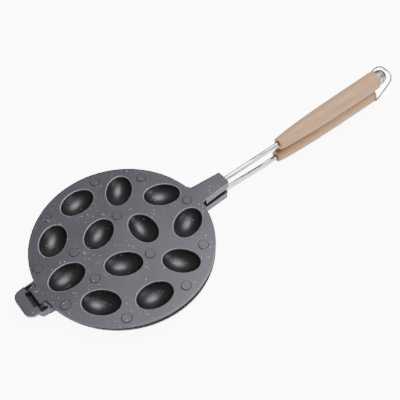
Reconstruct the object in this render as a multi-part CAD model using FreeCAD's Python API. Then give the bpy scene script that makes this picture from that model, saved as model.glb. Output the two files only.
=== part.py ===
"""Walnut cookie mold: two hinged cast plates on a split handle, held shut by a wire bail.

Lengths are in millimetres and angles in degrees. The model is built with the centre of
the plates at x = 0, the handle along +X and the lower plate's upper face at z = 0. The
upper plate is built parallel to the lower one and then turned up about the hinge pin to
the angle at which the two grips meet. At the end every piece is moved so that the
origin lies on the table, under the middle of the whole mold.
"""
import FreeCAD, Part
import math
import os

V = FreeCAD.Vector
FULL_TURN = 360.0
HALF_TURN = 180.0
QUARTER_TURN = 90.0

# Driving dimensions
# Plates
plate_radius = 85.0
upper_flange = 2.0
lower_flange = 3.6
joint_gap = 0.3               # between the plates' faces, if they were parallel
rim_round = 1.4               # upper plate's top rim and lower plate's bottom rim
rim_edge_break = 0.4
overrun = 60.0                # how far cutters run past what they cut

# Nuts: hollows in the upper face, punches under them, cavities and cups below
hollow_long = 17.4            # half length of the hollow's mouth
hollow_short = 12.3           # half width of the hollow's mouth
hollow_depth = 9.3
hollow_lip = 0.8
punch_wall = 1.8
cavity_long = 21.2
cavity_short = 16.1
cavity_depth = 13.2
cup_wall = 2.4
rib_height = 0.9
rib_width = 1.7
seam_width = 2.4
foot_flat_depth = 0.5
# Centre of each nut as shares of the plate radius, and the turn of its long axis. Each
# pair lies on both sides of the handle's line and its second nut mirrors the first.
nut_pair_shares = ((-0.100, 0.734), (0.353, 0.578), (-0.570, 0.467),
                   (0.698, 0.238), (-0.138, 0.237))
nut_pair_turns = (8.0, 47.0, 41.5, -27.0, 27.0)
nut_single_shares = ((0.279, 0.0), (-0.685, 0.0))
nut_single_turns = (90.0, 0.0)
# Wrinkles: where they meet the seam, as shares of the cavity's half length
wrinkle_shares = (-0.54, -0.04, 0.44)
wrinkle_lean = 24.0

# Round marks that ejector pins leave in the upper face
mark_radius = 3.9
mark_depth = 0.45
mark_shares = ((-0.870, 0.270), (-0.470, 0.200), (-0.470, 0.770), (0.145, 0.310),
               (0.210, 0.845), (0.650, 0.570))
mark_front_share = 0.870

# Lugs that hold the rods
lug_length = 33.6             # from the rim to the lug's end
lug_root_half = 10.0
lug_end_half = 7.7
lug_fillet = 4.0
lug_corner = 1.4
lug_edge = 1.1
lug_depth = 9.8
upper_lug_start = 4.5         # from the rim to where the upper lug gets its full depth
lower_lug_drop = 4.5          # the lower lug's top below the lower plate's face
lower_lug_root = 7.5          # how far the lower lug runs in under the flange

# Rods
rod_radius = 2.75
rod_in_lug = 24.0
rod_fit = 0.05
upper_rod_drop = 4.8          # rod's axis below the upper face, at the lug's end
lower_rod_drop = 9.7          # rod's axis below the lower plate's face
upper_rod_rise = 1.8          # the upper rod leaves its lug at this slope
knee_distance = 51.4          # from the lug's end to where the lower rod is bent up
knee_radius = 60.0

# Hinge
pin_distance = 2.5            # from the rim to the hinge axis
pin_drop = 1.5                # hinge axis below the lower plate's face
pin_radius = 1.75
pin_fit = 0.06
pin_end_edge = 0.3
rest_angle = 2.4              # the plates stand open by this when the grips meet
knuckle_half = 8.2
knuckle_radius = 3.1
knuckle_gap = 0.3             # beside and around the knuckle
cheek_width = 3.6
cheek_wall = 0.95             # over the pin
cheek_front = 2.3             # from the hinge axis towards the plate
cheek_ridge = 1.0             # from the hinge axis to where the cheek slopes down
cheek_back = 4.3
cheek_foot = 1.0              # height of the cheek's low end below the plate's face
cheek_relief = 0.35           # between the cheeks and the upper plate's rim

# Bracket behind the lower plate: two arms joined by a bar, like a loop to hang it by
loop_length = 18.3            # from the hinge axis to the bar's far side
window_length = 5.6           # between the hinge knuckle and the bar
sill_thickness = 2.0          # floor under the knuckle
sill_length = 5.5             # from the hinge axis to the floor's open end
bar_depth = 3.9
bar_level = 1.9               # bracket's top above the lower plate's face
loop_root_half = 17.4
loop_nose_half = 13.9
loop_nose_round = 8.0
arm_depth = 8.2
arm_edge = 0.6
trench_depth = 4.4
trench_width = 4.7            # behind the cheeks, from the hinge axis
trench_slope = 1.0
trench_wall = 3.0             # outside the trench, at the bracket's root
shoulder_width = 1.4          # of the lower plate's face beside the rim
bracket_root_width = 7.0      # how far the bracket runs in under the flange

# Grips
grip_distance = 18.0          # from the knee to the grips' near ends
grip_length = 136.6
grip_belly_radius = 10.2
grip_end_round = 1.7
grip_bore_fit = 0.1
grip_station_shares = (0.0, 0.045, 0.15, 0.37, 0.80, 1.0)
grip_radius_shares = (0.60, 0.68, 0.785, 0.905, 0.985, 1.0)
touch_share = 0.832           # where the two grips meet, along their length
grip_flat = 0.9               # depth of the flat planed on each grip where they meet
grip_gap = 0.3

# Fastenings at the grips' ends
collar_radius = 8.4
collar_length = 4.8
cap_radius = 8.2
cap_neck_radius = 7.4
cap_neck = 0.7
cap_band = 0.9
cap_dome = 8.2
cap_bore_share = 0.5
recess_radius = 6.6
recess_depth = 6.2
nut_across = 9.0
nut_height = 3.2
nut_chamfer = 0.5
small_washer_radius = 5.8
small_washer_thickness = 1.0
rod_tail = 1.2

# Bail
wire_radius = 1.1
bail_side_gap = 0.8           # between the grips' sides and the wire
bail_corner = 9.2
bail_foot_bend = 1.9          # where the wire turns into the lower grip
bail_foot_depth = 3.2         # how far the wire's ends reach into the wood
bail_foot_fit = 0.08
bail_pivot_share = 0.9655     # along the grips' length
bail_clearance = 0.5          # between the wire and the cap as it swings past
bail_latched_angle = 75.0     # above the grips' common line

# Derived sizes
# Every reach is a distance from the plates' centre.
lug_reach = plate_radius + lug_length
knee_reach = lug_reach + knee_distance
grip_start = knee_reach + grip_distance
touch_reach = grip_start + grip_length * touch_share
bail_pivot_reach = grip_start + grip_length * bail_pivot_share
upper_joint = joint_gap
upper_face = joint_gap + upper_flange
pin_to_face = pin_drop + upper_face
pin_reach = plate_radius + pin_distance
loop_reach = pin_reach + loop_length
bar_start = pin_reach + knuckle_radius + window_length
trench_start = pin_reach
trench_end = pin_reach + trench_width
sill_end = pin_reach + sill_length
shoulder_reach = plate_radius + shoulder_width
bracket_root = plate_radius - bracket_root_width
inner_half = knuckle_half + knuckle_gap
cheek_outer = inner_half + cheek_width
cheek_top = pin_radius + cheek_wall               # above the hinge axis
cheek_corner = math.hypot(cheek_front, cheek_top)
tiny = rim_edge_break / 20


def bowl(mouth_long, mouth_short, depth):
    """Half axes of the spheroid with this mouth and depth, and its centre's height."""
    short = (mouth_short ** 2 + depth ** 2) / (2 * depth)
    return mouth_long * short / mouth_short, short, short - depth


hollow_a, hollow_b, hollow_rise = bowl(hollow_long, hollow_short, hollow_depth)
cavity_a, cavity_b, cavity_rise = bowl(cavity_long, cavity_short, cavity_depth)
hollow_level = upper_face + hollow_rise
table_level = cavity_rise - cavity_b - cup_wall + foot_flat_depth


# Small helpers
def box(x0, x1, y0, y1, z0, z1):
    """Box between two corners."""
    return Part.makeBox(x1 - x0, y1 - y0, z1 - z0, V(x0, y0, z0))


def slab(z0, z1):
    """Wide flat block between two levels."""
    wide = plate_radius + overrun
    return box(-wide, wide, -wide, wide, z0, z1)


def rod_between(start, end, radius):
    """Straight round bar from one point to another."""
    along = end - start
    return Part.makeCylinder(radius, along.Length, start, along)


def crosswise(x, z, radius, y0, y1):
    """Round bar that runs across the handle, along Y."""
    return Part.makeCylinder(radius, y1 - y0, V(x, y0, z), V(0, 1, 0))


def polygon_face(points):
    """Flat face inside a closed outline of straight lines."""
    return Part.Face(Part.makePolygon(points + points[:1]))


def side_prism(points, y0, y1):
    """Outline in the side view, given as (x, z), run across from y0 to y1."""
    return polygon_face([V(x, y0, z) for x, z in points]).extrude(V(0, y1 - y0, 0))


def plan_prism(points, z0, z1):
    """Outline seen from above, given as (x, y), run up from z0 to z1."""
    return polygon_face([V(x, y, z0) for x, y in points]).extrude(V(0, 0, z1 - z0))


def edges_where(shape, test):
    """Edges of a shape whose middle point passes the test."""
    found = []
    for edge in shape.Edges:
        middle = edge.valueAt((edge.FirstParameter + edge.LastParameter) / 2)
        if test(edge, middle):
            found.append(edge)
    return found


def is_upright(edge):
    """True for an edge along Z."""
    size = edge.BoundBox
    return size.ZLength > tiny and size.XLength < tiny and size.YLength < tiny


def is_level(edge, z):
    """True for an edge that lies flat at a height."""
    size = edge.BoundBox
    return abs(size.ZMin - z) < tiny and size.ZLength < tiny


def mirrored(shape):
    """Shape mirrored to the other side of the handle."""
    return shape.mirror(V(0, 0, 0), V(0, 1, 0))


def turned_up(shape, angle=rest_angle):
    """Shape turned up about the hinge axis."""
    turned = shape.copy()
    turned.rotate(V(-pin_reach, 0, -pin_drop), V(0, -1, 0), angle)
    return turned


def segment(x0, r0, x1, r1):
    """Straight edge of a turned piece's outline."""
    return Part.LineSegment(V(x0, r0, 0), V(x1, r1, 0)).toShape()


def quarter_arc(x0, r0, x1, r1):
    """Elliptic quarter of a turned piece's outline that ends square to the axis."""
    points = []
    steps = 8
    for step in range(steps + 1):
        turn = math.radians(QUARTER_TURN * step / steps)
        points.append(V(x0 + (x1 - x0) * math.sin(turn), r1 + (r0 - r1) * math.cos(turn), 0))
    curve = Part.BSplineCurve()
    curve.interpolate(Points=points, InitialTangent=V(1, 0, 0), FinalTangent=V(0, -1, 0))
    return curve.toShape()


def turned_piece(edges, origin, axis):
    """Piece turned from an outline of (distance along the axis, radius) edges."""
    solid = Part.Face(Part.Wire(edges)).revolve(V(0, 0, 0), V(1, 0, 0), FULL_TURN)
    solid.Placement = FreeCAD.Placement(origin, FreeCAD.Rotation(V(1, 0, 0), axis))
    return solid


# Lines of the handle
def point_turned_up(point):
    """Point of the parallel upper plate after it is turned up to rest."""
    turn = math.radians(rest_angle)
    dx, dz = point.x + pin_reach, point.z + pin_drop
    return V(-pin_reach + dx * math.cos(turn) - dz * math.sin(turn), point.y,
             -pin_drop + dx * math.sin(turn) + dz * math.cos(turn))


def direction(angle):
    """Unit vector in the side view at an angle above the +X direction."""
    return V(math.cos(math.radians(angle)), 0, math.sin(math.radians(angle)))


def at_reach(origin, along, x):
    """Point at a given x on a line."""
    return origin + along * ((x - origin.x) / along.x)


upper_slope = rest_angle + upper_rod_rise
upper_along = direction(upper_slope)
upper_exit = point_turned_up(V(lug_reach, 0, upper_face - upper_rod_drop))
upper_touch = at_reach(upper_exit, upper_along, touch_reach)
touch_half = grip_belly_radius - grip_flat + grip_gap / 2
lower_touch = upper_touch - direction(upper_slope + QUARTER_TURN) * (2 * touch_half)
knee = V(knee_reach, 0, -lower_rod_drop)
lower_slope = math.degrees(math.atan2(lower_touch.z - knee.z, lower_touch.x - knee.x))
lower_along = direction(lower_slope)
middle_slope = (upper_slope + lower_slope) / 2
middle_touch = (upper_touch + lower_touch) * 0.5
upper_grip_origin = at_reach(upper_exit, upper_along, grip_start)
lower_grip_origin = at_reach(knee, lower_along, grip_start)
upper_grip_end = upper_grip_origin + upper_along * grip_length
lower_grip_end = lower_grip_origin + lower_along * grip_length
cap_start = collar_length
cap_length = cap_neck + cap_band + cap_dome
bail_pivot = at_reach(knee, lower_along, bail_pivot_reach)


def bail_length():
    """Pivot to cross bar, so that the wire just clears the cap's dome."""
    farthest = 0
    for step in range(int(QUARTER_TURN)):
        turn = math.radians(step)
        along = cap_start + cap_neck + cap_band + cap_dome * math.cos(turn)
        out = direction(upper_slope + QUARTER_TURN) * (cap_radius * math.sin(turn))
        point = upper_grip_end + upper_along * along + out
        farthest = max(farthest, (point - bail_pivot).Length)
    return farthest + wire_radius + bail_clearance


def bail_rest_angle():
    """Angle above the grips' common line at which the wire is just off the cap's end."""
    cap_end = upper_grip_end + upper_along * (cap_start + cap_length)
    reach = (cap_end - bail_pivot).dot(direction(middle_slope)) + wire_radius + bail_clearance
    return math.degrees(math.acos(reach / bail_length()))


# Nuts
def nut_places():
    """Centre and turn of the long axis of all the nuts."""
    places = []
    for (along, aside), turn in zip(nut_pair_shares, nut_pair_turns):
        for side in (1, -1):
            places.append((along * plate_radius, side * aside * plate_radius, side * turn))
    for (along, aside), turn in zip(nut_single_shares, nut_single_turns):
        places.append((along * plate_radius, aside * plate_radius, turn))
    return places


def at_all_nuts(shape, level):
    """Copies of a shape made at the origin, one for every nut."""
    copies = []
    for x, y, turn in nut_places():
        copy = shape.copy()
        copy.rotate(V(0, 0, 0), V(0, 0, 1), turn)
        copy.translate(V(x, y, level))
        copies.append(copy)
    return copies


def half_spheroid(long, short):
    """Lower half of a spheroid with its long axis along X, centred at the origin."""
    arc = Part.ArcOfEllipse(Part.Ellipse(V(0, 0, 0), long, short), 0, math.pi).toShape()
    base = Part.LineSegment(V(-long, 0, 0), V(long, 0, 0)).toShape()
    solid = Part.Face(Part.Wire([arc, base])).revolve(V(0, 0, 0), V(1, 0, 0), HALF_TURN)
    if solid.CenterOfMass.z > 0:
        solid.rotate(V(0, 0, 0), V(1, 0, 0), HALF_TURN)
    return solid


def half_walnut():
    """What a cavity holds: half a nut with a seam and leaning wrinkles pressed in."""
    outer = half_spheroid(cavity_a, cavity_b)
    core = half_spheroid(cavity_a - rib_height, cavity_b - rib_height)
    cuts = [box(-overrun, overrun, -seam_width / 2, seam_width / 2, -overrun, overrun)]
    for share in wrinkle_shares:
        rib = box(-rib_width / 2, rib_width / 2, 0, overrun, -overrun, overrun)
        rib.rotate(V(0, 0, 0), V(0, 0, 1), -wrinkle_lean)
        rib.translate(V(share * cavity_a, 0, 0))
        cuts.append(rib)
        cuts.append(mirrored(rib))
    return outer.cut(Part.Compound(cuts)).fuse(core)


# Plates
def disc(z0, z1, low_round, high_round):
    """Round plate with rounded rims."""
    plate = Part.makeCylinder(plate_radius, z1 - z0, V(0, 0, z0))
    low = edges_where(plate, lambda edge, mid: is_level(edge, z0))
    plate = plate.makeFillet(low_round, low)
    high = edges_where(plate, lambda edge, mid: is_level(edge, z1))
    return plate.makeFillet(high_round, high)


def lug_side(x):
    """Half width of a lug at a distance from the plate's centre."""
    share = (x - plate_radius) / (lug_reach - plate_radius)
    return lug_root_half + (lug_end_half - lug_root_half) * share


def lug_plan(start, end=lug_reach):
    """Plan of a lug between two distances from the plate's centre."""
    return [(start, -lug_side(start)), (end, -lug_side(end)),
            (end, lug_side(end)), (start, lug_side(start))]


def lug_webs(z0, z1):
    """Curved corners between the rim and both sides of a lug."""
    lean = math.atan2(lug_root_half - lug_end_half, lug_reach - plate_radius)
    normal = V(math.sin(lean), math.cos(lean), 0)
    along = V(math.cos(lean), -math.sin(lean), 0)
    offset = normal.dot(V(plate_radius, lug_root_half, 0)) + lug_fillet
    reach = plate_radius + lug_fillet
    centre = normal * offset + along * math.sqrt(reach ** 2 - offset ** 2)
    on_rim = centre * (plate_radius / reach)
    on_side = centre - normal * lug_fillet
    toward = ((on_rim + on_side) * 0.5 - centre).normalize()
    inner = V(plate_radius - lug_fillet, 0, 0)
    arc = Part.Arc(on_rim, centre + toward * lug_fillet, on_side).toShape()
    edges = [Part.LineSegment(inner, on_rim).toShape(), arc,
             Part.LineSegment(on_side, inner).toShape()]
    web = Part.Face(Part.Wire(edges)).extrude(V(0, 0, z1 - z0))
    web.translate(V(0, 0, z0))
    return [web, mirrored(web)]


def lug_block(start, z0, z1):
    """Deep part of a lug with rounded corners and edges at its end."""
    block = plan_prism(lug_plan(start), z0, z1)
    corners = edges_where(block, lambda edge, mid: is_upright(edge)
                          and mid.x > lug_reach - lug_corner)
    block = block.makeFillet(lug_corner, corners)
    low = edges_where(block, lambda edge, mid: is_level(edge, z0) and mid.x > start + lug_edge)
    return block.makeFillet(lug_edge, low)


def eject_marks():
    """Shallow round marks in the upper face."""
    low = upper_face - mark_depth
    places = [(along * plate_radius, side * aside * plate_radius)
              for along, aside in mark_shares for side in (1, -1)]
    places.append((mark_front_share * plate_radius, 0))
    return [Part.makeCylinder(mark_radius, overrun, V(x, y, low)) for x, y in places]


def lip_cutter():
    """Bevelled ring that eases the mouth of a hollow, with its top at the origin."""
    wires = []
    for level, spread in ((rim_edge_break, hollow_lip + rim_edge_break), (0, hollow_lip),
                          (-hollow_lip / 2, hollow_lip / 4), (-hollow_lip, -tiny)):
        ellipse = Part.Ellipse(V(0, 0, level), hollow_long + spread, hollow_short + spread)
        wires.append(Part.Wire(ellipse.toShape()))
    return Part.makeLoft(wires, True, True)


def upper_plate():
    """Upper cast plate with hollow punches, lug and hinge knuckle."""
    plate = disc(upper_joint, upper_face, rim_edge_break, rim_round)
    punch = half_spheroid(hollow_a + punch_wall, hollow_b + punch_wall)
    punch = punch.common(slab(-overrun, upper_joint + upper_flange / 2 - hollow_level))
    hollow = half_spheroid(hollow_a, hollow_b)
    neck = plan_prism(lug_plan(plate_radius - lug_fillet, plate_radius + 2 * upper_lug_start),
                      upper_joint, upper_face)
    block = lug_block(plate_radius + upper_lug_start, upper_face - lug_depth, upper_face)
    eye = crosswise(-pin_reach, -pin_drop, knuckle_radius, -knuckle_half, knuckle_half)
    head = box(-pin_reach - knuckle_radius, -pin_reach + knuckle_radius, -knuckle_half,
               knuckle_half, -pin_drop, upper_face)
    tip = edges_where(head, lambda edge, mid: is_level(edge, upper_face)
                      and mid.x < -pin_reach - knuckle_radius + tiny)
    head = head.makeFillet(rim_edge_break, tip)
    tongue = box(-pin_reach, -plate_radius + lug_fillet, -knuckle_half, knuckle_half,
                 upper_joint, upper_face)
    body = plate.multiFuse(at_all_nuts(punch, hollow_level) + [neck, block, eye, head, tongue]
                           + lug_webs(upper_joint, upper_face))
    body = body.cut(Part.Compound(at_all_nuts(hollow, hollow_level)))
    body = body.cut(Part.Compound(at_all_nuts(lip_cutter(), upper_face))).removeSplitter()
    reliefs = [crosswise(-pin_reach, -pin_drop, cheek_corner + cheek_relief, knuckle_half,
                         cheek_outer + knuckle_gap)]
    reliefs.append(mirrored(reliefs[0]))
    bore = crosswise(-pin_reach, -pin_drop, pin_radius + pin_fit, -overrun, overrun)
    start = V(lug_reach, 0, upper_face - upper_rod_drop) - direction(upper_rod_rise) * rod_in_lug
    end = start + direction(upper_rod_rise) * overrun
    socket = rod_between(start, end, rod_radius + rod_fit)
    body = body.cut(Part.Compound(reliefs + [bore, socket] + eject_marks()))
    return turned_up(body)


def bracket():
    """Arms and bar behind the lower plate, with a trench beside the hinge."""
    crest = trench_end + trench_slope
    low = bar_level - bar_depth
    side = [(-loop_reach, bar_level), (-crest, bar_level), (-trench_end, 0),
            (-bracket_root, 0), (-bracket_root, -arm_depth), (-sill_end, -arm_depth),
            (-bar_start, low), (-loop_reach, low)]
    body = side_prism(side, -loop_root_half, loop_root_half)
    plan = plan_prism([(-bracket_root, loop_root_half), (-loop_reach, loop_nose_half),
                       (-loop_reach, -loop_nose_half), (-bracket_root, -loop_root_half)],
                      -overrun, overrun)
    nose = edges_where(plan, lambda edge, mid: is_upright(edge) and mid.x < -bar_start)
    body = body.common(plan.makeFillet(loop_nose_round, nose))
    top = edges_where(body, lambda edge, mid: is_level(edge, bar_level)
                      and mid.x < -crest - tiny)
    body = body.makeFillet(arm_edge, top)
    trench = side_prism([(-crest, bar_level + tiny), (-crest, overrun),
                         (-shoulder_reach, overrun), (-shoulder_reach, -trench_depth),
                         (-trench_end, -trench_depth)],
                        inner_half, loop_root_half - trench_wall)
    return body.cut(Part.Compound([trench, mirrored(trench)]))


def cheeks():
    """Blocks beside the knuckle that hold the hinge pin."""
    outline = [(-pin_reach + cheek_front, -trench_depth - cheek_foot),
               (-pin_reach + cheek_front, cheek_top - pin_drop),
               (-pin_reach - cheek_ridge, cheek_top - pin_drop),
               (-pin_reach - cheek_back, -cheek_foot),
               (-pin_reach - cheek_back, -trench_depth - cheek_foot)]
    cheek = side_prism(outline, inner_half, cheek_outer)
    return [cheek, mirrored(cheek)]


def lower_plate():
    """Lower cast plate with ribbed cups, lug and hinge bracket."""
    plate = disc(-lower_flange, 0, rim_round, rim_edge_break)
    cup = half_spheroid(cavity_a + cup_wall, cavity_b + cup_wall)
    cup = cup.common(slab(table_level - cavity_rise, -lower_flange / 2 - cavity_rise))
    root = plate_radius - lower_lug_root
    block = lug_block(root, -lower_lug_drop - lug_depth, -lower_lug_drop)
    seat = plan_prism(lug_plan(root, plate_radius - 2 * rim_round),
                      -lower_lug_drop - lug_edge, -lower_flange / 2)
    body = plate.multiFuse(at_all_nuts(cup, cavity_rise) + [block, seat, bracket()]
                           + cheeks())
    opening = -pin_reach + knuckle_radius + knuckle_gap
    pocket = box(-sill_end, opening, -inner_half, inner_half,
                 sill_thickness - arm_depth, overrun)
    window = box(-bar_start, -sill_end, -inner_half, inner_half, -overrun, overrun)
    bore = crosswise(-pin_reach, -pin_drop, pin_radius + rod_fit, -cheek_outer - knuckle_gap,
                     cheek_outer + knuckle_gap)
    socket = rod_between(V(lug_reach - rod_in_lug, 0, -lower_rod_drop),
                         V(lug_reach + overrun, 0, -lower_rod_drop), rod_radius + rod_fit)
    body = body.cut(Part.Compound([pocket, window, bore, socket])).removeSplitter()
    return body.cut(Part.Compound(at_all_nuts(half_walnut(), cavity_rise)))


def hinge_pin():
    """Plain pin with eased ends, flush with the cheeks' outer sides."""
    edge = pin_end_edge
    half = cheek_outer
    edges = [segment(-half, 0, -half, pin_radius - edge),
             segment(-half, pin_radius - edge, -half + edge, pin_radius),
             segment(-half + edge, pin_radius, half - edge, pin_radius),
             segment(half - edge, pin_radius, half, pin_radius - edge),
             segment(half, pin_radius - edge, half, 0),
             segment(half, 0, -half, 0)]
    return turned_piece(edges, V(-pin_reach, 0, -pin_drop), V(0, 1, 0))


# Rods
def upper_rod():
    """Straight rod from the upper lug through the grip into the cap."""
    start = upper_exit - upper_along * rod_in_lug
    inside_cap = cap_start + cap_length * cap_bore_share
    return rod_between(start, upper_grip_end + upper_along * inside_cap, rod_radius)


def lower_rod():
    """Rod from the lower lug, bent up at the knee, with its end in the grip's recess."""
    bend = math.radians(lower_slope)
    tangent = knee_radius * math.tan(bend / 2)
    start = V(lug_reach - rod_in_lug, 0, -lower_rod_drop)
    before = knee - V(tangent, 0, 0)
    after = knee + lower_along * tangent
    centre = before + V(0, 0, knee_radius)
    middle = centre - direction(lower_slope / 2 + QUARTER_TURN) * knee_radius
    end = lower_grip_end - lower_along * (recess_depth - small_washer_thickness
                                          - nut_height - rod_tail)
    path = Part.Wire([Part.LineSegment(start, before).toShape(),
                      Part.Arc(before, middle, after).toShape(),
                      Part.LineSegment(after, end).toShape()])
    section = Part.Wire(Part.Circle(start, V(1, 0, 0), rod_radius).toShape())
    return path.makePipeShell([section], True, False)


# Grips
def grip(origin, along, end_recess, keep_above):
    """Turned wooden grip with a bore and a flat where it meets the other grip."""
    length = grip_length
    radius = grip_belly_radius
    points = [V(station * (length - grip_end_round), share * radius, 0)
              for station, share in zip(grip_station_shares, grip_radius_shares)]
    curve = Part.BSplineCurve()
    curve.interpolate(points)
    foot = V(0, rod_radius + grip_bore_fit, 0)
    bore = rod_radius + grip_bore_fit
    edges = [segment(0, bore, 0, grip_radius_shares[0] * radius), curve.toShape(),
             quarter_arc(length - grip_end_round, radius, length, radius - grip_end_round),
             segment(length, radius - grip_end_round, length, bore),
             segment(length, bore, 0, bore)]
    body = turned_piece(edges, origin, along)
    if end_recess:
        end = origin + along * length
        body = body.cut(rod_between(end - along * recess_depth, end + along * overrun,
                                    recess_radius))
    side = 1 if keep_above else -1
    plane = middle_touch + direction(middle_slope + QUARTER_TURN) * (side * grip_gap / 2)
    other = Part.makeBox(2 * length, 2 * overrun, overrun, V(-length, -overrun, -overrun))
    if not keep_above:
        other.translate(V(0, 0, overrun))
    other.rotate(V(0, 0, 0), V(0, -1, 0), middle_slope)
    other.translate(plane)
    return body.cut(other)


def upper_grip():
    return grip(upper_grip_origin, upper_along, False, True)


def lower_grip():
    """Lower grip, with a recess for the nut and two holes for the bail's ends."""
    body = grip(lower_grip_origin, lower_along, True, False)
    hole = crosswise(bail_pivot.x, bail_pivot.z, wire_radius + bail_foot_fit,
                     recess_radius - bail_clearance, overrun)
    return body.cut(Part.Compound([hole, mirrored(hole)]))


# Fastenings
def grip_collar():
    """Round collar between the upper grip and the cap."""
    bore = rod_radius + grip_bore_fit
    edge = rim_edge_break
    edges = [segment(0, bore, 0, collar_radius - edge),
             segment(0, collar_radius - edge, edge, collar_radius),
             segment(edge, collar_radius, collar_length - edge, collar_radius),
             segment(collar_length - edge, collar_radius, collar_length, collar_radius - edge),
             segment(collar_length, collar_radius - edge, collar_length, bore),
             segment(collar_length, bore, 0, bore)]
    return turned_piece(edges, upper_grip_end, upper_along)


def cap_nut():
    """Domed nut with a narrower neck behind its band."""
    bore = rod_radius + rod_fit
    depth = cap_length * cap_bore_share + rim_edge_break
    band = cap_neck + cap_band
    edges = [segment(0, bore, 0, cap_neck_radius),
             segment(0, cap_neck_radius, cap_neck, cap_neck_radius),
             segment(cap_neck, cap_neck_radius, cap_neck, cap_radius),
             segment(cap_neck, cap_radius, band, cap_radius),
             quarter_arc(band, cap_radius, cap_length, 0),
             segment(cap_length, 0, depth, 0),
             segment(depth, 0, depth, bore),
             segment(depth, bore, 0, bore)]
    return turned_piece(edges, upper_grip_end + upper_along * cap_start, upper_along)


def end_washer():
    """Flat washer in the lower grip's recess."""
    start = lower_grip_end - lower_along * recess_depth
    end = start + lower_along * small_washer_thickness
    ring = rod_between(start, end, small_washer_radius)
    return ring.cut(rod_between(start, end, rod_radius + grip_bore_fit))


def end_nut():
    """Six-sided nut in the lower grip's recess."""
    sides = 6
    corner = nut_across / 2 / math.cos(math.pi / sides)
    points = [V(0, corner * math.cos(2 * math.pi * step / sides),
                corner * math.sin(2 * math.pi * step / sides)) for step in range(sides)]
    body = polygon_face(points).extrude(V(nut_height, 0, 0))
    cone = Part.makeCone(corner + nut_height - nut_chamfer, corner - nut_chamfer,
                         nut_height, V(0, 0, 0), V(1, 0, 0))
    body = body.common(cone)
    body = body.cut(Part.makeCylinder(rod_radius + rod_fit, nut_height, V(0, 0, 0), V(1, 0, 0)))
    start = lower_grip_end - lower_along * (recess_depth - small_washer_thickness)
    body.Placement = FreeCAD.Placement(start, FreeCAD.Rotation(V(1, 0, 0), lower_along))
    return body


# Bail
wire_offset = grip_belly_radius + bail_side_gap + wire_radius


def bail(angle):
    """Wire bail: two ends turned into the lower grip, two legs and a round-cornered bar."""
    length = bail_length()
    straight = length - bail_corner
    flat = wire_offset - bail_corner
    foot = grip_belly_radius - bail_foot_depth
    bend = bail_foot_bend
    rise = math.sin(math.radians(QUARTER_TURN / 2))
    slant = bail_corner * rise
    turn = bend * (1 - rise)
    start = V(0, -foot, 0)
    legs = []
    for side in (-1, 1):
        legs.append([Part.LineSegment(V(0, side * foot, 0), V(0, side * (wire_offset - bend), 0)),
                     Part.Arc(V(0, side * (wire_offset - bend), 0),
                              V(turn, side * (wire_offset - turn), 0),
                              V(bend, side * wire_offset, 0)),
                     Part.LineSegment(V(bend, side * wire_offset, 0),
                                      V(straight, side * wire_offset, 0)),
                     Part.Arc(V(straight, side * wire_offset, 0),
                              V(straight + slant, side * (flat + slant), 0),
                              V(length, side * flat, 0))])
    bar = Part.LineSegment(V(length, -flat, 0), V(length, flat, 0))
    lines = legs[0] + [bar] + legs[1][::-1]
    path = Part.Wire([line.toShape() for line in lines])
    section = Part.Wire(Part.Circle(start, V(0, 1, 0), wire_radius).toShape())
    body = path.makePipeShell([section], True, False)
    body.rotate(V(0, 0, 0), V(0, -1, 0), middle_slope + angle)
    body.translate(bail_pivot)
    return body


# Pieces
def all_pieces():
    """Every piece by name, in the plate-centred frame."""
    return {"upper_plate": upper_plate(), "upper_rod": upper_rod(),
            "upper_grip": upper_grip(), "grip_collar": grip_collar(), "cap_nut": cap_nut(),
            "lower_plate": lower_plate(), "hinge_pin": hinge_pin(), "lower_rod": lower_rod(),
            "lower_grip": lower_grip(), "end_washer": end_washer(), "end_nut": end_nut(),
            "bail": bail(bail_rest_angle())}


def main():
    os.makedirs("parts", exist_ok=True)
    pieces = all_pieces()
    whole = Part.Compound(list(pieces.values())).optimalBoundingBox(False, False)
    shift = V(-(whole.XMin + whole.XMax) / 2, 0, -table_level)
    for name, shape in pieces.items():
        shape.translate(shift)
        shape.exportStep("parts/" + name + ".step")
        size = shape.optimalBoundingBox(False, False)
        print(name, shape.ShapeType, shape.isValid(), len(shape.Solids),
              round(shape.Volume), [round(v, 2) for v in (size.XMin, size.XMax, size.YMin,
                                                          size.YMax, size.ZMin, size.ZMax)])
    hinge = V(-pin_reach, 0, -pin_drop) + shift
    pivot = bail_pivot + shift
    print("shift", tuple(shift), "hinge", tuple(hinge), "bail pivot", tuple(pivot))
    print("bail length", bail_length(), "rest angle", bail_rest_angle(),
          "slopes", upper_slope, middle_slope, lower_slope)


main()
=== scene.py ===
# %% [markdown]
# # A hinged mold for walnut cookies
# The mold is two round cast plates with a dark coating, hinged at one side, with a long
# split wooden handle at the other and a wire bail that holds the handle shut. The real
# shapes come from a measured model that is loaded first. This script then gives every
# piece its finish, adds fine detail that the measured model leaves out, and sets up the
# picture. All lengths are in metres, and every finished piece keeps its place in its
# mesh, with its object at the origin.

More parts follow.
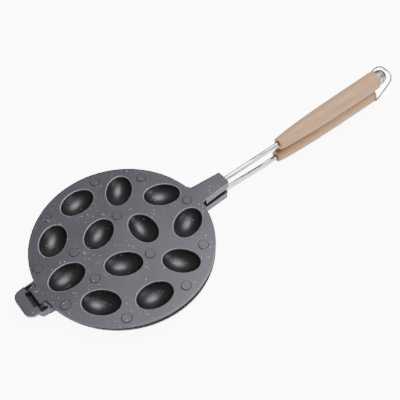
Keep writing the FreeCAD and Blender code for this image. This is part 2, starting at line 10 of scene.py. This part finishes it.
# %% Load the measured model
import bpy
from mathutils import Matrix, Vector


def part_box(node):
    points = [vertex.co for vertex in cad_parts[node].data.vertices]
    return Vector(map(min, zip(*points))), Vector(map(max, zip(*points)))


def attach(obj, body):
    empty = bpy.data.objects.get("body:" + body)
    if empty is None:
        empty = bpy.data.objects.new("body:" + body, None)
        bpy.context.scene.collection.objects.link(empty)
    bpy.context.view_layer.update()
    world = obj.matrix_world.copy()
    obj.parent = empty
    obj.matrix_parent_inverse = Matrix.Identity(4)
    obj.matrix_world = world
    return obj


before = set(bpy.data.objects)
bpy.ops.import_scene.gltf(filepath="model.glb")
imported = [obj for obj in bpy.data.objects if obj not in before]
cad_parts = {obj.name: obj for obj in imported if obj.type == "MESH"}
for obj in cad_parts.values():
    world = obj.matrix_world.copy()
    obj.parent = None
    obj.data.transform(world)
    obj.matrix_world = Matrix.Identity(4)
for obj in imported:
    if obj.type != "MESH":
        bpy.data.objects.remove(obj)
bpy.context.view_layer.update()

import bmesh
import bpy
import math
from mathutils import Matrix, Vector

# %% [markdown]
# ## Values that several cells share
# The measured model was drawn in millimetres about the middle of the plates, so a
# millimetre gets its own name here. The upper plate isn't level: it stands open by a
# small angle about the hinge pin, because the two grips meet before the plates do. So
# anything that lies on that plate is first placed as if the plate were level, and then
# turned about the hinge by the same angle.

# %% Shared values
MM = 0.001
plate_radius = 85 * MM
upper_face = 2.3 * MM
rest_angle = math.radians(2.4)
hinge_to_centre, hinge_to_seam = 87.5 * MM, 1.5 * MM

hinge_low, hinge_high = [Vector(corner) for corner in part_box("hinge_pin")]
hinge_axis = (hinge_low + hinge_high) / 2
plate_centre_x = hinge_axis.x + hinge_to_centre
seam_level = hinge_axis.z + hinge_to_seam
plates_middle = Vector((plate_centre_x, 0, seam_level))
opening = Matrix.Rotation(rest_angle, 3, Vector((0, -1, 0)))


def on_upper_plate(along, aside, height):
    """Place above the upper plate's face, given in shares of the plate's radius."""
    level = Vector((plate_centre_x + along * plate_radius, aside * plate_radius,
                    seam_level + upper_face + height))
    return hinge_axis + opening @ (level - hinge_axis)


face_middle = on_upper_plate(0, 0, 0)
face_normal = opening @ Vector((0, 0, 1))
print("hinge", tuple(hinge_axis), "face middle", tuple(face_middle))

# %% [markdown]
# ## Helpers for node trees
# A finish is a tree of nodes. These helpers add a node, join two sockets and start a
# tree, so that the cells below read like a list of what a finish is made of.


# %% Node helpers
def add_node(tree, kind, **values):
    """Node with values for its sockets, or for its settings of the same name."""
    node = tree.nodes.new(kind)
    for name, value in values.items():
        if name in node.inputs:
            node.inputs[name].default_value = value
        else:
            setattr(node, name, value)
    return node


def join(tree, source, target):
    tree.links.new(source, target)


def combine(tree, operation, first, second):
    """Math on two sockets or numbers."""
    node = add_node(tree, "ShaderNodeMath", operation=operation)
    for index, value in enumerate((first, second)):
        if isinstance(value, (int, float)):
            node.inputs[index].default_value = value
        else:
            join(tree, value, node.inputs[index])
    return node.outputs["Value"]


def rescale(tree, source, low, high, new_low, new_high):
    """Spread a value's range over another range, held at both ends."""
    node = add_node(tree, "ShaderNodeMapRange")
    join(tree, source, node.inputs["Value"])
    for name, value in (("From Min", low), ("From Max", high), ("To Min", new_low),
                        ("To Max", new_high)):
        if isinstance(value, (int, float)):
            node.inputs[name].default_value = value
        else:
            join(tree, value, node.inputs[name])
    return node.outputs["Result"]


def blend_colours(tree, share, first, second):
    """Colour between two colours; each is a socket or three numbers."""
    node = add_node(tree, "ShaderNodeMix", data_type="RGBA")
    join(tree, share, node.inputs[0])
    for index, colour in ((6, first), (7, second)):
        if isinstance(colour, tuple):
            node.inputs[index].default_value = (*colour, 1)
        else:
            join(tree, colour, node.inputs[index])
    return node.outputs[2]


def new_material(name):
    """Finish with a plain shader, and the socket of a point's place on its piece."""
    material = bpy.data.materials.new(name)
    material.use_nodes = True
    tree = material.node_tree
    tree.nodes.clear()
    output = add_node(tree, "ShaderNodeOutputMaterial")
    shader = add_node(tree, "ShaderNodeBsdfPrincipled")
    join(tree, shader.outputs["BSDF"], output.inputs["Surface"])
    place = add_node(tree, "ShaderNodeTexCoord").outputs["Object"]
    return material, tree, shader, place


def new_effect(name, inputs, outputs):
    """Empty shader group with named sockets: (name, type, starting value)."""
    group = bpy.data.node_groups.new(name, "ShaderNodeTree")
    for title, kind, value in inputs:
        socket = group.interface.new_socket(title, in_out="INPUT", socket_type=kind)
        if value is not None:
            socket.default_value = value
    for title, kind in outputs:
        group.interface.new_socket(title, in_out="OUTPUT", socket_type=kind)
    return group, group.nodes.new("NodeGroupInput"), group.nodes.new("NodeGroupOutput")


def use_effect(tree, group, place, **values):
    """Node that runs an effect group at a place, with values for its other inputs."""
    node = add_node(tree, "ShaderNodeGroup", node_tree=group, **values)
    join(tree, place, node.inputs["Place"])
    return node


# %% [markdown]
# ## Effect: an uneven skin
# No made surface is equally glossy all over. A coating has a faint orange peel, drawn
# wire has fine scratches and wood has pores. Each is a noise that moves the roughness
# between two limits and lifts the surface a little. It is built once as a group, and
# each finish gives it its own scale and limits.

# %% Uneven skin group
FLOAT, VECTOR = "NodeSocketFloat", "NodeSocketVector"
uneven_skin, skin_in, skin_out = new_effect(
    "uneven_skin",
    [("Place", VECTOR, None), ("Scale", FLOAT, 500.0), ("Smoothest", FLOAT, 0.2),
     ("Roughest", FLOAT, 0.4), ("Relief", FLOAT, 0.1)],
    [("Noise", FLOAT), ("Roughness", FLOAT), ("Normal", VECTOR)])
skin_noise = add_node(uneven_skin, "ShaderNodeTexNoise", Detail=4.0, Roughness=0.55)
join(uneven_skin, skin_in.outputs["Place"], skin_noise.inputs["Vector"])
join(uneven_skin, skin_in.outputs["Scale"], skin_noise.inputs["Scale"])
skin_bump = add_node(uneven_skin, "ShaderNodeBump", Distance=0.2 * MM)
join(uneven_skin, skin_in.outputs["Relief"], skin_bump.inputs["Strength"])
join(uneven_skin, skin_noise.outputs["Fac"], skin_bump.inputs["Height"])
join(uneven_skin, skin_noise.outputs["Fac"], skin_out.inputs["Noise"])
join(uneven_skin, rescale(uneven_skin, skin_noise.outputs["Fac"], 0.3, 0.7,
                          skin_in.outputs["Smoothest"], skin_in.outputs["Roughest"]),
     skin_out.inputs["Roughness"])
join(uneven_skin, skin_bump.outputs["Normal"], skin_out.inputs["Normal"])
print("group", uneven_skin.name, len(uneven_skin.nodes), "nodes")

# %% [markdown]
# ## Effect: sprayed specks
# The coating is sprayed on with pale specks in it. They lie unevenly, in loose clusters
# with bare patches between them, and few are big. A Voronoi pattern gives every cell a
# random colour: one channel picks which cells hold a speck and another sets its size,
# and a slow noise makes the clusters. A plain noise with a threshold would have given
# blots without clean edges.

# %% Sprayed specks group
specks_effect, specks_in, specks_out = new_effect(
    "sprayed_specks",
    [("Place", VECTOR, None), ("Scale", FLOAT, 700.0), ("Share", FLOAT, 0.1),
     ("Size", FLOAT, 0.3)],
    [("Mask", FLOAT)])
cells = add_node(specks_effect, "ShaderNodeTexVoronoi", Randomness=1.0)
join(specks_effect, specks_in.outputs["Place"], cells.inputs["Vector"])
join(specks_effect, specks_in.outputs["Scale"], cells.inputs["Scale"])
chance = add_node(specks_effect, "ShaderNodeSeparateColor")
join(specks_effect, cells.outputs["Color"], chance.inputs["Color"])
clusters = add_node(specks_effect, "ShaderNodeTexNoise", Scale=52.0, Detail=2.0)
join(specks_effect, specks_in.outputs["Place"], clusters.inputs["Vector"])
crowd = rescale(specks_effect, clusters.outputs["Fac"], 0.44, 0.68, 0.15, 3.0)
picked = combine(specks_effect, "LESS_THAN", chance.outputs["Red"],
                 combine(specks_effect, "MULTIPLY", specks_in.outputs["Share"], crowd))
big = combine(specks_effect, "POWER", chance.outputs["Green"], 3.0)
reach = combine(specks_effect, "MULTIPLY", specks_in.outputs["Size"],
                rescale(specks_effect, big, 0.0, 1.0, 0.4, 1.0))
inside = combine(specks_effect, "LESS_THAN", cells.outputs["Distance"], reach)
join(specks_effect, combine(specks_effect, "MULTIPLY", picked, inside),
     specks_out.inputs["Mask"])
print("group", specks_effect.name, len(specks_effect.nodes), "nodes")

# %% [markdown]
# ## Coated casting
# The coating is a dark grey, half-glossy skin with a touch of violet. Two things differ
# over the upper plate. Its hollows are blacker than its face, because they are deep and
# seasoned with grease, and the lips round them have a lighter line where wiping has
# rubbed the coating. Grease also stays in the corner round each low pad. All of these
# follow how far a point lies above or below the plate's face, which the shader works out
# from the point's place, so no picture has to be wrapped on the plate. A hollow's skin
# also faces up, which tells it from the punch under it, and lies inside the plate's rim.


# %% Coating finish
hollows_reach = 82 * MM
grease_dark, grease_light = (0.002, 0.002, 0.002), (0.010, 0.009, 0.0075)
rubbed_grey, corner_black = (0.2, 0.2, 0.21), (0.011, 0.011, 0.013)
speck_white, violet_gloss = (0.8, 0.8, 0.8), (0.92, 0.9, 1.0, 1)
# below the face: where grease starts and is complete, where a rubbed lip rises and fades
grease_depths = 0.4 * MM, 1.2 * MM
lip_depths = (0.03 * MM, 0.12 * MM), (0.5 * MM, 0.75 * MM)
# above the face: where the black on a pad's wall rises and fades
wall_heights = (0.04 * MM, 0.1 * MM), (0.44 * MM, 0.5 * MM)


def dot_with(tree, source, direction):
    """How far a vector socket reaches along a fixed direction."""
    node = add_node(tree, "ShaderNodeVectorMath", operation="DOT_PRODUCT")
    join(tree, source, node.inputs[0])
    node.inputs[1].default_value = direction
    return node.outputs["Value"]


def band(tree, source, rise, fall):
    """Mask that is 1 between two levels, each given as the pair that it changes over."""
    return combine(tree, "MULTIPLY", rescale(tree, source, *rise, 0.0, 1.0),
                   rescale(tree, source, *fall, 1.0, 0.0))


def coating_material(name, base, has_hollows):
    """Coating in a base colour; with hollows, it also follows the upper plate's face."""
    material, tree, shader, place = new_material(name)
    skin = use_effect(tree, uneven_skin, place, Scale=850.0, Smoothest=0.36, Roughest=0.46,
                      Relief=0.10)
    cloud = add_node(tree, "ShaderNodeTexNoise", Scale=24.0, Detail=3.0)
    join(tree, place, cloud.inputs["Vector"])
    shade = rescale(tree, cloud.outputs["Fac"], 0.35, 0.65, 0.0, 1.0)
    darker = tuple(channel * 0.82 for channel in base)
    lighter = tuple(channel * 1.18 for channel in base)
    colour = blend_colours(tree, shade, darker, lighter)
    if has_hollows:
        offset = add_node(tree, "ShaderNodeVectorMath", operation="SUBTRACT")
        join(tree, place, offset.inputs[0])
        offset.inputs[1].default_value = face_middle
        height = dot_with(tree, offset.outputs["Vector"], face_normal)
        from_middle = add_node(tree, "ShaderNodeVectorMath", operation="LENGTH")
        join(tree, offset.outputs["Vector"], from_middle.inputs[0])
        on_face = rescale(tree, from_middle.outputs["Value"], hollows_reach,
                          hollows_reach + 1 * MM, 1.0, 0.0)
        facing = dot_with(tree, place.node.outputs["Normal"], face_normal)
        upward = rescale(tree, facing, 0.05, 0.2, 0.0, 1.0)
        below = combine(tree, "MULTIPLY", height, -1.0)
        hollow = combine(tree, "MULTIPLY", rescale(tree, below, *grease_depths, 0.0, 1.0),
                         combine(tree, "MULTIPLY", upward, on_face))
        grease = blend_colours(tree, skin.outputs["Noise"], grease_dark, grease_light)
        colour = blend_colours(tree, hollow, colour, grease)
        lip = band(tree, below, *lip_depths)
        rubbed = combine(tree, "MULTIPLY", lip, rescale(tree, on_face, 0.0, 1.0, 0.45, 1.0))
        colour = blend_colours(tree, rubbed, colour, rubbed_grey)
        wall = band(tree, height, *wall_heights)
        corner = combine(tree, "MULTIPLY", wall, on_face)
        colour = blend_colours(tree, corner, colour, corner_black)
    specks = use_effect(tree, specks_effect, place, Scale=760.0, Share=0.13, Size=0.25)
    speck_share = specks.outputs["Mask"]
    if has_hollows:
        speck_share = combine(tree, "MULTIPLY", speck_share,
                              rescale(tree, hollow, 0.0, 1.0, 1.0, 0.4))
    colour = blend_colours(tree, speck_share, colour, speck_white)
    join(tree, colour, shader.inputs["Base Color"])
    join(tree, skin.outputs["Roughness"], shader.inputs["Roughness"])
    join(tree, skin.outputs["Normal"], shader.inputs["Normal"])
    shader.inputs["Specular Tint"].default_value = violet_gloss
    return material


coating_base = (0.034, 0.033, 0.040)
upper_coating = coating_material("upper_coating", coating_base, True)
lower_coating = coating_material("lower_coating", coating_base, False)
print("coatings", upper_coating.name, lower_coating.name)

# %% [markdown]
# ## Metals
# The rods are polished and mirror the white table, with dark edges where they turn away.
# A metal's Specular Tint is its colour at grazing angles, so a dark tint gives those
# edges from the shader itself. Long streaks follow the rods, as drawing them through a
# die leaves. The cap and its collar are duller turned metal and the bail is bright wire.


# %% Metal finishes
streak_stretch = 0.008  # how much slower a streak changes along the rod than across it


def metal_material(name, colour, edge, smoothest, roughest, scale):
    """Metal with its colour, its colour at grazing angles, gloss limits and fine marks."""
    material, tree, shader, place = new_material(name)
    skin = use_effect(tree, uneven_skin, place, Scale=scale, Smoothest=smoothest,
                      Roughest=roughest, Relief=0.05)
    dull = tuple(channel * 0.9 for channel in colour)
    join(tree, blend_colours(tree, skin.outputs["Noise"], dull, colour),
         shader.inputs["Base Color"])
    join(tree, skin.outputs["Roughness"], shader.inputs["Roughness"])
    join(tree, skin.outputs["Normal"], shader.inputs["Normal"])
    shader.inputs["Metallic"].default_value = 1.0
    shader.inputs["Specular Tint"].default_value = (*edge, 1)
    return material


def add_drawing_streaks(material, dark, across):
    """Darken a metal in long streaks along the handle, as pulling through a die leaves."""
    tree = material.node_tree
    shader = next(node for node in tree.nodes if node.type == "BSDF_PRINCIPLED")
    place = next(node for node in tree.nodes if node.type == "TEX_COORD").outputs["Object"]
    bright = shader.inputs["Base Color"].links[0].from_socket
    stretch = add_node(tree, "ShaderNodeMapping")
    stretch.inputs["Scale"].default_value = (across * streak_stretch, across, across)
    join(tree, place, stretch.inputs["Vector"])
    streaks = add_node(tree, "ShaderNodeTexNoise", Scale=1.0, Detail=3.0, Roughness=0.7)
    join(tree, stretch.outputs["Vector"], streaks.inputs["Vector"])
    share = rescale(tree, streaks.outputs["Fac"], 0.4, 0.56, 1.0, 0.0)
    join(tree, blend_colours(tree, share, bright, dark), shader.inputs["Base Color"])


rod_steel = metal_material("rod_steel", colour=(0.58, 0.58, 0.59), edge=(0.03, 0.03, 0.03),
                           smoothest=0.06, roughest=0.14, scale=320.0)
add_drawing_streaks(rod_steel, dark=(0.09, 0.09, 0.095), across=480.0)
cap_metal = metal_material("cap_metal", colour=(0.42, 0.415, 0.40), edge=(0.35, 0.35, 0.35),
                           smoothest=0.3, roughest=0.42, scale=600.0)
bail_wire = metal_material("bail_wire", colour=(0.5, 0.5, 0.5), edge=(0.3, 0.3, 0.3),
                           smoothest=0.14, roughest=0.26, scale=700.0)
pin_steel = metal_material("pin_steel", colour=(0.45, 0.45, 0.46), edge=(0.2, 0.2, 0.2),
                           smoothest=0.25, roughest=0.38, scale=500.0)
print("metals", rod_steel.name, cap_metal.name, bail_wire.name, pin_steel.name)

# %% [markdown]
# ## Wood
# The grips are pale beech, turned and sanded but not varnished. Beech has short brown
# flecks along the grain and a slow change of tone. A noise that is stretched along the
# grip gives the grain, because its cells are squeezed across the grip by the scale of
# the coordinates, and a finer one gives the flecks.


# %% Wood finish
beech_dark, beech_light = (0.30, 0.164, 0.076), (0.42, 0.242, 0.12)
fleck_brown = (0.27, 0.15, 0.08)
grain_squeeze = 8.0


def wood_material(name):
    """Bare beech whose grain runs along the handle."""
    material, tree, shader, place = new_material(name)
    along_grip = add_node(tree, "ShaderNodeMapping")
    along_grip.inputs["Scale"].default_value = (1.0, grain_squeeze, grain_squeeze)
    join(tree, place, along_grip.inputs["Vector"])
    grain = add_node(tree, "ShaderNodeTexNoise", Scale=42.0, Detail=5.0, Roughness=0.6,
                     Distortion=0.4)
    join(tree, along_grip.outputs["Vector"], grain.inputs["Vector"])
    flecks = add_node(tree, "ShaderNodeTexNoise", Scale=260.0, Detail=1.0)
    join(tree, along_grip.outputs["Vector"], flecks.inputs["Vector"])
    tone = rescale(tree, grain.outputs["Fac"], 0.32, 0.68, 0.0, 1.0)
    colour = blend_colours(tree, tone, beech_dark, beech_light)
    fleck = rescale(tree, flecks.outputs["Fac"], 0.55, 0.7, 0.0, 0.55)
    colour = blend_colours(tree, fleck, colour, fleck_brown)
    join(tree, colour, shader.inputs["Base Color"])
    skin = use_effect(tree, uneven_skin, along_grip.outputs["Vector"], Scale=180.0,
                      Smoothest=0.5, Roughest=0.68, Relief=0.3)
    join(tree, skin.outputs["Roughness"], shader.inputs["Roughness"])
    join(tree, skin.outputs["Normal"], shader.inputs["Normal"])
    return material


grip_wood = wood_material("grip_wood")
print("wood", grip_wood.name)

# %% [markdown]
# ## Finishes on the measured pieces
# A measured piece whose shape is right keeps its shape and only gets a finish.

# %% Give every measured piece its finish
finishes = {"lower_plate": lower_coating, "upper_plate": upper_coating,
            "hinge_pin": pin_steel, "lower_rod": rod_steel, "upper_rod": rod_steel,
            "lower_grip": grip_wood, "upper_grip": grip_wood, "grip_collar": cap_metal,
            "cap_nut": cap_metal, "end_washer": pin_steel, "end_nut": pin_steel,
            "bail": bail_wire}
for name, finish in finishes.items():
    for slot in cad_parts[name].material_slots:
        slot.material = finish
print(len(finishes), "measured pieces finished")

# %% [markdown]
# ## Pads left by the ejector pins
# When a plate is pushed out of its casting die, each round pin leaves a low pad. There
# are thirteen of them on the upper face, all alike, so one pad is made by rule and set
# on thirteen points. Geometry Nodes fit this: the points go in as a mesh, and the pad's
# sizes are inputs with names, so a bigger pad is one number.


# %% Helpers for geometry trees
def new_shape_tree(name, sizes):
    """Geometry group with a Geometry input and output and an input for each size."""
    group = bpy.data.node_groups.new(name, "GeometryNodeTree")
    shape = "NodeSocketGeometry"
    group.interface.new_socket("Geometry", in_out="INPUT", socket_type=shape)
    for title, value in sizes.items():
        kind = FLOAT if isinstance(value, float) else VECTOR
        socket = group.interface.new_socket(title, in_out="INPUT", socket_type=kind)
        socket.default_value = value
    group.interface.new_socket("Geometry", in_out="OUTPUT", socket_type=shape)
    return group, group.nodes.new("NodeGroupInput"), group.nodes.new("NodeGroupOutput")


def end_tree(group, source, finish, ending):
    """Make instances real and give them a finish, because the export needs both."""
    real = add_node(group, "GeometryNodeRealizeInstances")
    join(group, source, real.inputs["Geometry"])
    painted = add_node(group, "GeometryNodeSetMaterial")
    painted.inputs["Material"].default_value = finish
    join(group, real.outputs["Geometry"], painted.inputs["Geometry"])
    join(group, painted.outputs["Geometry"], ending.inputs["Geometry"])


def mesh_object(name, points=()):
    """Object in the scene whose mesh holds loose points, or nothing yet."""
    mesh = bpy.data.meshes.new(name)
    mesh.from_pydata([tuple(point) for point in points], [], [])
    piece = bpy.data.objects.new(name, mesh)
    bpy.context.scene.collection.objects.link(piece)
    return piece


def grow(name, points, group, sizes):
    """Run a geometry tree on points and keep the result as a plain mesh."""
    seed = mesh_object(name + "_points", points)
    modifier = seed.modifiers.new("shape", "NODES")
    modifier.node_group = group
    for item in group.interface.items_tree:
        if item.in_out == "INPUT" and item.name in sizes:
            modifier[item.identifier] = sizes[item.name]
    evaluated = seed.evaluated_get(bpy.context.evaluated_depsgraph_get())
    mesh = bpy.data.meshes.new_from_object(evaluated)
    seed.modifiers.remove(modifier)
    bpy.data.objects.remove(seed)
    piece = bpy.data.objects.new(name, mesh)
    bpy.context.scene.collection.objects.link(piece)
    print(name, len(mesh.polygons), "faces")
    return piece


# %% Tree that sets pads on points
pad_sizes = {"Radius": 4.9 * MM, "Height": 0.55 * MM, "Edge": 0.75 * MM, "Sunk": 0.05 * MM}
pad_tree, pad_in, pad_out = new_shape_tree("ejector_pad", pad_sizes)
whole_height = combine(pad_tree, "ADD", pad_in.outputs["Height"], pad_in.outputs["Sunk"])
pad = add_node(pad_tree, "GeometryNodeMeshCone", Vertices=40)
join(pad_tree, combine(pad_tree, "SUBTRACT", pad_in.outputs["Radius"],
                       pad_in.outputs["Edge"]), pad.inputs["Radius Top"])
join(pad_tree, pad_in.outputs["Radius"], pad.inputs["Radius Bottom"])
join(pad_tree, whole_height, pad.inputs["Depth"])
drop = add_node(pad_tree, "ShaderNodeCombineXYZ")
join(pad_tree, combine(pad_tree, "MULTIPLY", pad_in.outputs["Sunk"], -1.0),
     drop.inputs["Z"])
lowered = add_node(pad_tree, "GeometryNodeTransform")
join(pad_tree, pad.outputs["Mesh"], lowered.inputs["Geometry"])
join(pad_tree, drop.outputs["Vector"], lowered.inputs["Translation"])
placed = add_node(pad_tree, "GeometryNodeInstanceOnPoints")
join(pad_tree, pad_in.outputs["Geometry"], placed.inputs["Points"])
join(pad_tree, lowered.outputs["Geometry"], placed.inputs["Instance"])
placed.inputs["Rotation"].default_value = opening.to_euler()
end_tree(pad_tree, placed.outputs["Instances"], upper_coating, pad_out)
print("tree", pad_tree.name, len(pad_tree.nodes), "nodes")

# %% Set the pads
# shares of the plate's radius: along the handle, then aside; each stands on both sides
pad_pairs = [(-0.870, 0.270), (-0.470, 0.200), (-0.470, 0.770), (0.145, 0.310),
             (0.210, 0.845), (0.650, 0.570)]
pad_places = [on_upper_plate(along, side * aside, 0)
              for along, aside in pad_pairs for side in (1, -1)]
pad_places.append(on_upper_plate(0.870, 0, 0))
ejector_pads = grow("ejector_pads", pad_places, pad_tree, pad_sizes)
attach(ejector_pads, "upper_mold")

# %% [markdown]
# ## Thread on the lower rod's end
# The lower rod ends in a thread that carries the nut in the grip's recess, and a short
# tail of it stands out of the nut. A thread follows a rule, so it is a spiral with a
# round wire swept along it, with its pitch, its turns and its wire as named inputs. The
# nut and the washer both sit on the rod, so the line through their middles is its axis.


# %% Where the thread goes and how big it is
def middle_of(node):
    """Middle of a measured piece's box."""
    low, high = [Vector(corner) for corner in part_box(node)]
    return (low + high) / 2


half_nut = 1.75 * MM
rod_line = (middle_of("end_nut") - middle_of("end_washer")).normalized()
thread_start = middle_of("end_nut") + rod_line * half_nut
thread_sizes = {"Radius": 2.7 * MM, "Pitch": 0.45 * MM, "Turns": 1.9, "Wire": 0.17 * MM,
                "Turned": tuple(rod_line.to_track_quat("Z", "Y").to_euler())}
print("thread starts at", tuple(thread_start))

# %% Tree that winds a thread
thread_tree, thread_in, thread_out = new_shape_tree("rod_thread", thread_sizes)
spiral = add_node(thread_tree, "GeometryNodeCurveSpiral", Resolution=32)
for title in ("Start Radius", "End Radius"):
    join(thread_tree, thread_in.outputs["Radius"], spiral.inputs[title])
join(thread_tree, thread_in.outputs["Turns"], spiral.inputs["Rotations"])
join(thread_tree, combine(thread_tree, "MULTIPLY", thread_in.outputs["Pitch"],
                          thread_in.outputs["Turns"]), spiral.inputs["Height"])
wire = add_node(thread_tree, "GeometryNodeCurvePrimitiveCircle", Resolution=8)
join(thread_tree, thread_in.outputs["Wire"], wire.inputs["Radius"])
swept = add_node(thread_tree, "GeometryNodeCurveToMesh")
swept.inputs["Fill Caps"].default_value = True
join(thread_tree, spiral.outputs["Curve"], swept.inputs["Curve"])
join(thread_tree, wire.outputs["Curve"], swept.inputs["Profile Curve"])
wound = add_node(thread_tree, "GeometryNodeInstanceOnPoints")
join(thread_tree, thread_in.outputs["Geometry"], wound.inputs["Points"])
join(thread_tree, swept.outputs["Mesh"], wound.inputs["Instance"])
join(thread_tree, thread_in.outputs["Turned"], wound.inputs["Rotation"])
end_tree(thread_tree, wound.outputs["Instances"], rod_steel, thread_out)
print("tree", thread_tree.name, len(thread_tree.nodes), "nodes")

# %% Wind the thread
rod_thread = grow("rod_thread", [thread_start], thread_tree, thread_sizes)
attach(rod_thread, "lower_mold")

# %% [markdown]
# ## Web under the opening behind the hinge
# Between the hinge and the bracket's bar the casting has an opening, and in the picture
# nothing pale shows through it, so a thin web closes it from below. The web is a flat
# strip that slopes up from the floor under the knuckle to the bar's underside. Its side
# outline is run across the opening with a few lines of mesh code, which is simpler than
# cutting a block, and a small bevel softens its long edges as in any casting.

# %% Build the web
# millimetres from the plates' middle: first along the handle, then up
web_outline = [(-92.6, -8.1), (-96.5, -3.6), (-97.3, -3.4), (-97.3, -2.2), (-96.1, -2.2),
               (-92.6, -6.3)]
web_half = 8.7
web_bevel = 0.25 * MM
web_mesh = bmesh.new()
sides = []
for aside in (-web_half, web_half):
    sides.append([web_mesh.verts.new(plates_middle + Vector((x, aside, z)) * MM)
                  for x, z in web_outline])
count = len(web_outline)
for step in range(count):
    after = (step + 1) % count
    web_mesh.faces.new((sides[0][step], sides[0][after], sides[1][after], sides[1][step]))
web_mesh.faces.new(sides[0][::-1])
web_mesh.faces.new(sides[1])
long_edges = [edge for edge in web_mesh.edges
              if abs(edge.verts[0].co.y - edge.verts[1].co.y) > web_half * MM]
bmesh.ops.bevel(web_mesh, geom=long_edges, offset=web_bevel, segments=2, affect="EDGES")
bmesh.ops.recalc_face_normals(web_mesh, faces=web_mesh.faces)
opening_web = mesh_object("opening_web")
web_mesh.to_mesh(opening_web.data)
web_mesh.free()
opening_web.data.materials.append(lower_coating)
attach(opening_web, "lower_mold")
print("opening_web", len(opening_web.data.polygons), "faces")

# %% [markdown]
# ## Floor, light and camera
# The mold lies on a white table in soft studio light. The table is overexposed, so the
# floor glows strongly for the camera, less in what mirrors it, such as the rods and the
# rims, and least on the rest, which keeps the mold's underside dark. A light stands
# behind the mold where the plates mirror it to the camera, which is what gives a dark
# coating its grey sheen. A larger one hangs overhead for the wood, and a weak one in
# front picks out the rims. The camera's place was found by fitting the plate's outline
# and the row of hollows to the picture, in units of the plate's radius.

# %% Floor
table_width = 8
table_seen, table_mirrored, table_felt = 9.0, 1.5, 0.7
bpy.ops.mesh.primitive_plane_add(size=table_width)
floor = bpy.context.object
floor.name = "floor"
floor_material, floor_tree, floor_shader, _ = new_material("floor_white")
floor_shader.inputs["Base Color"].default_value = (0.9, 0.9, 0.9, 1)
floor_shader.inputs["Roughness"].default_value = 0.9
floor_shader.inputs["Specular IOR Level"].default_value = 0.0
floor_shader.inputs["Emission Color"].default_value = (1, 1, 1, 1)
floor_rays = add_node(floor_tree, "ShaderNodeLightPath")
mirrored = floor_rays.outputs["Is Glossy Ray"]
glow = combine(floor_tree, "MAXIMUM",
               rescale(floor_tree, mirrored, 0.0, 1.0, table_felt, table_mirrored),
               rescale(floor_tree, floor_rays.outputs["Is Camera Ray"], 0.0, 1.0, 0.0,
                       table_seen))
join(floor_tree, glow, floor_shader.inputs["Emission Strength"])
floor.data.materials.append(floor_material)
print("floor", floor.name)


# %% Lights
def soft_light(name, place, target, size, watts):
    """Square light at a place, turned to a target."""
    data = bpy.data.lights.new(name, "AREA")
    data.size = size
    data.energy = watts
    light = bpy.data.objects.new(name, data)
    bpy.context.scene.collection.objects.link(light)
    light.location = place
    aim = Vector(target) - Vector(place)
    light.rotation_euler = aim.to_track_quat("-Z", "Y").to_euler()
    return light


mirror_way = Vector((0.355, 0.468, 0.809)).normalized()
sheen_distance = 1.5
# a step towards the camera makes the front of the plates lighter than their back
camera_step = Vector((-0.12, -0.62, 0))
sheen_place = plates_middle + mirror_way * sheen_distance + camera_step
lights = [
    soft_light("sheen_light", sheen_place, plates_middle, size=0.7, watts=21.5),
    soft_light("top_light", (0.2, -0.5, 1.8), (0, 0, 0), size=1.5, watts=28),
    soft_light("front_light", (0.7, -1.3, 0.45), plates_middle, size=0.8, watts=10)]
print("lights", [light.name for light in lights])

# %% Sky
sky_seen, sky_felt = 9.0, 0.26
world = bpy.data.worlds.new("studio")
world.use_nodes = True
sky = world.node_tree.nodes["Background"]
sky.inputs["Color"].default_value = (0.92, 0.93, 0.95, 1)
sky_view = add_node(world.node_tree, "ShaderNodeLightPath").outputs["Is Camera Ray"]
join(world.node_tree, rescale(world.node_tree, sky_view, 0.0, 1.0, sky_felt, sky_seen),
     sky.inputs["Strength"])
bpy.context.scene.world = world
print("sky", world.name)

# %% Camera
camera_distance = 7.493
camera_elevation = math.radians(54.04)
camera_azimuth = math.radians(-37.15)
camera_roll = math.radians(1.162)
camera_right_shift = 0.835
camera_up_shift = 0.424
film_width, lens_length = 36, 63.57  # millimetres, as Blender counts these two

back = Vector((math.sin(camera_azimuth) * math.cos(camera_elevation),
               -math.cos(camera_azimuth) * math.cos(camera_elevation),
               math.sin(camera_elevation)))
right = Vector((math.cos(camera_azimuth), math.sin(camera_azimuth), 0))
up = right.cross(-back)
place = back * camera_distance + right * camera_right_shift + up * camera_up_shift
image_right = right * math.cos(camera_roll) - up * math.sin(camera_roll)
image_up = right * math.sin(camera_roll) + up * math.cos(camera_roll)

# the fitted camera was measured on the upper plate, which stands open at rest
on_plate = place * plate_radius + Vector((plate_centre_x, 0, seam_level + upper_face))
camera_place = hinge_axis + opening @ (on_plate - hinge_axis)
turn = Matrix((opening @ image_right, opening @ image_up, opening @ back)).transposed()

camera_data = bpy.data.cameras.new("camera")
camera_data.sensor_width = film_width
camera_data.lens = lens_length
camera = bpy.data.objects.new("camera", camera_data)
camera.matrix_world = Matrix.Translation(camera_place) @ turn.to_4x4()
bpy.context.scene.collection.objects.link(camera)
bpy.context.scene.camera = camera
print("camera at", tuple(round(v, 4) for v in camera_place))
